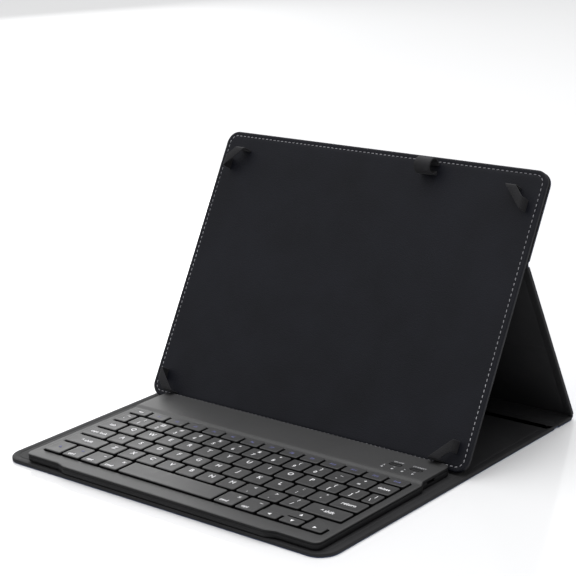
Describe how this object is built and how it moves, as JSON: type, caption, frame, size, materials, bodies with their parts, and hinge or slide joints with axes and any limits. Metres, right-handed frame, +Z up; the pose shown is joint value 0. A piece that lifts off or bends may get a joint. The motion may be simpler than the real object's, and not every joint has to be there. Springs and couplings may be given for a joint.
{
  "type": "tablet keyboard case",
  "caption": "Folding leather tablet case with a detachable keyboard, corner straps, stylus loop and folding stand.",
  "frame": {"origin": "on the table, in the middle of the box that the case fills", "axes": "+X to the user's right, +Y away from the user, +Z up"},
  "size_m": [0.27, 0.2688, 0.1783],
  "materials": {
    "outer_leather": "fine pebbled synthetic leather, matt",
    "black_leather": "fine pebbled synthetic leather, matt",
    "lining": "fine microfibre",
    "board": "grey fibre board",
    "elastic": "woven elastic",
    "magnet": "nickel plated",
    "shell": "fine textured plastic",
    "keycap": "fine textured plastic",
    "steel": "stamped sheet",
    "membrane": "printed film",
    "dome_rubber": "silicone rubber",
    "circuit": "solder resist",
    "battery": "foil pouch",
    "connector": "plated steel shell",
    "lens": "clear light pipe",
    "foot_rubber": "soft pad",
    "tape": "double-sided foam tape",
    "button": "smooth plastic"
  },
  "bodies": {
    "front_cover": {"front_cover_skin": "outer_leather", "front_cover_board": "board", "front_cover_lining": "lining", "cover_magnets": "magnet", "spine_crease": "outer_leather"},
    "spine": {"spine_skin": "outer_leather", "spine_board": "board", "spine_lining": "lining", "rear_crease": "outer_leather"},
    "leg": {"leg_skin": "outer_leather", "leg_boards": "board", "leg_lining": "lining", "fold_crease": "outer_leather"},
    "carrier": {"upper_back_skin": "outer_leather", "upper_back_board": "board", "mounting_tape": "tape", "carrier_backing": "lining", "carrier_board": "board", "carrier_facing": "black_leather", "corner_strap_top_left": "elastic", "corner_strap_top_right": "elastic", "corner_strap_bottom_left": "elastic", "corner_strap_bottom_right": "elastic", "pen_loop": "elastic"},
    "keyboard": {"keyboard_bottom_case": "shell", "keyboard_deck": "shell", "support_plate": "steel", "contact_membrane": "membrane", "key_domes": "dome_rubber", "keyboard_circuit_board": "circuit", "keyboard_battery": "battery", "charging_port": "connector", "indicator_lenses": "lens", "keyboard_feet": "foot_rubber", "case_screws": "steel"},
    "power_button": {"power_button": "button"},
    "connect_button": {"connect_button": "button"},
    "caps_key": {"caps_key": "keycap"},
    "delete_key": {"delete_key": "keycap"},
    "down_arrow_key": {"down_arrow_key": "keycap"},
    "escape_key": {"escape_key": "keycap"},
    "function_keys": {"function_keys": "keycap"},
    "home_letter_keys": {"home_letter_keys": "keycap"},
    "left_arrow_key": {"left_arrow_key": "keycap"},
    "left_shift_key": {"left_shift_key": "keycap"},
    "lower_letter_keys": {"lower_letter_keys": "keycap"},
    "modifier_keys": {"modifier_keys": "keycap"},
    "number_keys": {"number_keys": "keycap"},
    "return_key": {"return_key": "keycap"},
    "right_arrow_key": {"right_arrow_key": "keycap"},
    "right_shift_key": {"right_shift_key": "keycap"},
    "space_key": {"space_key": "keycap"},
    "tab_key": {"tab_key": "keycap"},
    "up_arrow_key": {"up_arrow_key": "keycap"},
    "upper_letter_keys": {"upper_letter_keys": "keycap"}
  },
  "joints": [
    {"name": "spine_fold", "type": "hinge", "parent": "front_cover", "child": "spine", "pos_m": [0, 0.11203, 0.0013], "axis": [1, 0, 0], "range_deg": [-90, 0], "deforming": ["spine_crease"]},
    {"name": "leg_fold", "type": "hinge", "parent": "spine", "child": "leg", "pos_m": [0, 0.13403, 0.0013], "axis": [1, 0, 0], "range_deg": [-115.2, 0], "deforming": ["rear_crease"]},
    {"name": "carrier_fold", "type": "hinge", "parent": "leg", "child": "carrier", "pos_m": [0, 0.07738, 0.12163], "axis": [1, 0, 0], "range_deg": [0, 55.2], "deforming": ["fold_crease"]},
    {"name": "keyboard_release", "type": "slide", "parent": "front_cover", "child": "keyboard", "axis": [0, -0.985, 0.1726], "range_m": [0, 0.04]},
    {"name": "power_button_press", "type": "slide", "parent": "keyboard", "child": "power_button", "axis": [0, 0, 1], "range_m": [-0.0004, 0], "stiffness_N_per_m": 300, "springref_m": 0.0006},
    {"name": "connect_button_press", "type": "slide", "parent": "keyboard", "child": "connect_button", "axis": [0, 0, 1], "range_m": [-0.0004, 0], "stiffness_N_per_m": 300, "springref_m": 0.0006},
    {"name": "caps_key_press", "type": "slide", "parent": "keyboard", "child": "caps_key", "axis": [0, 0, 1], "range_m": [-0.0012, 0], "stiffness_N_per_m": 300, "springref_m": 0.0006, "deforming": ["key_domes"]},
    {"name": "delete_key_press", "type": "slide", "parent": "keyboard", "child": "delete_key", "axis": [0, 0, 1], "range_m": [-0.0012, 0], "stiffness_N_per_m": 300, "springref_m": 0.0006},
    {"name": "down_arrow_key_press", "type": "slide", "parent": "keyboard", "child": "down_arrow_key", "axis": [0, 0, 1], "range_m": [-0.0012, 0], "stiffness_N_per_m": 300, "springref_m": 0.0006},
    {"name": "escape_key_press", "type": "slide", "parent": "keyboard", "child": "escape_key", "axis": [0, 0, 1], "range_m": [-0.0012, 0], "stiffness_N_per_m": 300, "springref_m": 0.0006},
    {"name": "function_keys_press", "type": "slide", "parent": "keyboard", "child": "function_keys", "axis": [0, 0, 1], "range_m": [-0.0012, 0], "stiffness_N_per_m": 3900, "springref_m": 0.0006},
    {"name": "home_letter_keys_press", "type": "slide", "parent": "keyboard", "child": "home_letter_keys", "axis": [0, 0, 1], "range_m": [-0.0012, 0], "stiffness_N_per_m": 3300, "springref_m": 0.0006},
    {"name": "left_arrow_key_press", "type": "slide", "parent": "keyboard", "child": "left_arrow_key", "axis": [0, 0, 1], "range_m": [-0.0012, 0], "stiffness_N_per_m": 300, "springref_m": 0.0006},
    {"name": "left_shift_key_press", "type": "slide", "parent": "keyboard", "child": "left_shift_key", "axis": [0, 0, 1], "range_m": [-0.0012, 0], "stiffness_N_per_m": 300, "springref_m": 0.0006},
    {"name": "lower_letter_keys_press", "type": "slide", "parent": "keyboard", "child": "lower_letter_keys", "axis": [0, 0, 1], "range_m": [-0.0012, 0], "stiffness_N_per_m": 3000, "springref_m": 0.0006},
    {"name": "modifier_keys_press", "type": "slide", "parent": "keyboard", "child": "modifier_keys", "axis": [0, 0, 1], "range_m": [-0.0012, 0], "stiffness_N_per_m": 1800, "springref_m": 0.0006},
    {"name": "number_keys_press", "type": "slide", "parent": "keyboard", "child": "number_keys", "axis": [0, 0, 1], "range_m": [-0.0012, 0], "stiffness_N_per_m": 3900, "springref_m": 0.0006},
    {"name": "return_key_press", "type": "slide", "parent": "keyboard", "child": "return_key", "axis": [0, 0, 1], "range_m": [-0.0012, 0], "stiffness_N_per_m": 300, "springref_m": 0.0006},
    {"name": "right_arrow_key_press", "type": "slide", "parent": "keyboard", "child": "right_arrow_key", "axis": [0, 0, 1], "range_m": [-0.0012, 0], "stiffness_N_per_m": 300, "springref_m": 0.0006},
    {"name": "right_shift_key_press", "type": "slide", "parent": "keyboard", "child": "right_shift_key", "axis": [0, 0, 1], "range_m": [-0.0012, 0], "stiffness_N_per_m": 300, "springref_m": 0.0006},
    {"name": "space_key_press", "type": "slide", "parent": "keyboard", "child": "space_key", "axis": [0, 0, 1], "range_m": [-0.0012, 0], "stiffness_N_per_m": 300, "springref_m": 0.0006},
    {"name": "tab_key_press", "type": "slide", "parent": "keyboard", "child": "tab_key", "axis": [0, 0, 1], "range_m": [-0.0012, 0], "stiffness_N_per_m": 300, "springref_m": 0.0006},
    {"name": "up_arrow_key_press", "type": "slide", "parent": "keyboard", "child": "up_arrow_key", "axis": [0, 0, 1], "range_m": [-0.0012, 0], "stiffness_N_per_m": 300, "springref_m": 0.0006},
    {"name": "upper_letter_keys_press", "type": "slide", "parent": "keyboard", "child": "upper_letter_keys", "axis": [0, 0, 1], "range_m": [-0.0012, 0], "stiffness_N_per_m": 3900, "springref_m": 0.0006}
  ],
  "couplings": [
    {"joint": "carrier_fold", "follows": "leg_fold", "ratio": -0.47906}
  ]
}
